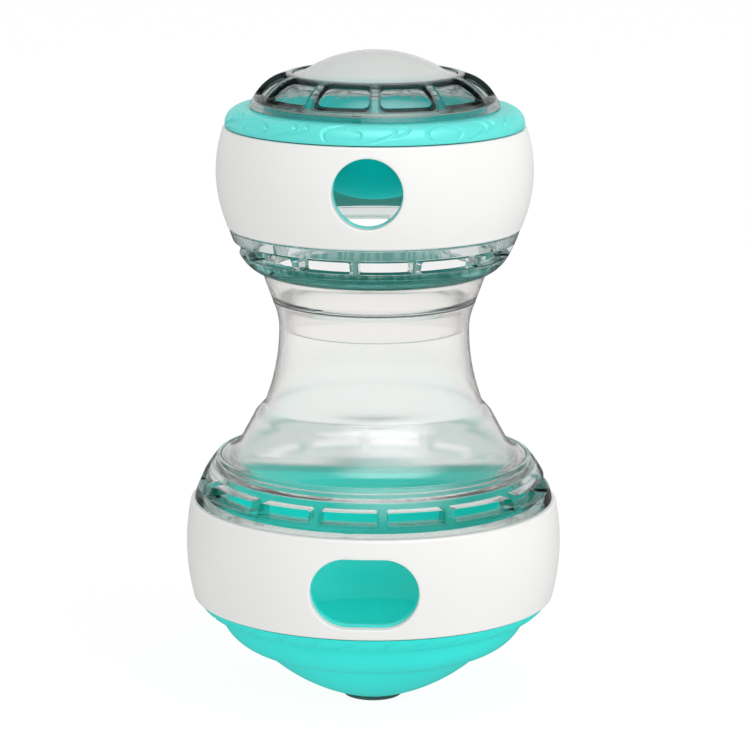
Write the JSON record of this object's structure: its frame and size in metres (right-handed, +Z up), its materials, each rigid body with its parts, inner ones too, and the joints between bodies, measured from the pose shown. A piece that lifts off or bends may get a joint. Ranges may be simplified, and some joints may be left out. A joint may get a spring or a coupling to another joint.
{
  "type": "treat ball",
  "caption": "Weighted tumbler treat ball for pets: two drums with turning bands and treat holes, joined by a clear waisted neck, under a windowed clear cap.",
  "frame": {"origin": "centre of the foot's flat underside, on the surface it stands on", "axes": "+Z up along the turning axis; -Y towards the front, where both treat holes point at rest"},
  "size_m": [0.104, 0.1036, 0.1817],
  "materials": {
    "foot_rubber": "matte",
    "turquoise_abs": "satin moulded",
    "zinc_plated_steel": "zinc plated",
    "silicone": "soft translucent",
    "white_abs": "satin moulded",
    "smoked_polycarbonate": "clear polished",
    "clear_polycarbonate": "clear polished"
  },
  "bodies": {
    "base": {"base_shell": "turquoise_abs", "foot": "foot_rubber", "weight": "zinc_plated_steel", "weight_cover": "turquoise_abs", "cover_screws": "zinc_plated_steel", "lower_friction_ring": "silicone"},
    "lower_band": {"lower_band": "white_abs"},
    "base_seal": {"base_seal": "silicone"},
    "lower_neck": {"lower_vent_ring": "smoked_polycarbonate", "lower_neck": "clear_polycarbonate"},
    "neck_seal": {"neck_seal": "silicone"},
    "upper_drum": {"upper_neck": "clear_polycarbonate", "upper_vent_ring": "smoked_polycarbonate", "upper_shell": "turquoise_abs", "upper_friction_ring": "silicone"},
    "upper_band": {"upper_band": "white_abs"},
    "cup": {"inner_cup": "turquoise_abs", "cap_seal": "silicone"},
    "cap": {"cap_ring": "smoked_polycarbonate", "cap_dome": "clear_polycarbonate"}
  },
  "joints": [
    {"name": "lower_band_turn", "type": "hinge", "parent": "base", "child": "lower_band", "pos_m": [0, 0, 0.0432], "axis": [0, 0, 1], "continuous": true},
    {"name": "base_lift", "type": "slide", "parent": "base", "child": "base_seal", "axis": [0, 0, 1], "range_m": [0, 0.02]},
    {"name": "base_twist", "type": "hinge", "parent": "base_seal", "child": "lower_neck", "pos_m": [0, 0, 0.0574], "axis": [0, 0, 1], "range_deg": [0, 30]},
    {"name": "neck_lift", "type": "slide", "parent": "lower_neck", "child": "neck_seal", "axis": [0, 0, 1], "range_m": [0, 0.02]},
    {"name": "neck_twist", "type": "hinge", "parent": "neck_seal", "child": "upper_drum", "pos_m": [0, 0, 0.1133], "axis": [0, 0, 1], "range_deg": [0, 30]},
    {"name": "upper_band_turn", "type": "hinge", "parent": "upper_drum", "child": "upper_band", "pos_m": [0, 0, 0.14715], "axis": [0, 0, 1], "continuous": true},
    {"name": "cap_lift", "type": "slide", "parent": "upper_drum", "child": "cup", "axis": [0, 0, 1], "range_m": [0, 0.03]},
    {"name": "cap_twist", "type": "hinge", "parent": "cup", "child": "cap", "pos_m": [0, 0, 0.1678], "axis": [0, 0, 1], "range_deg": [0, 30]}
  ]
}
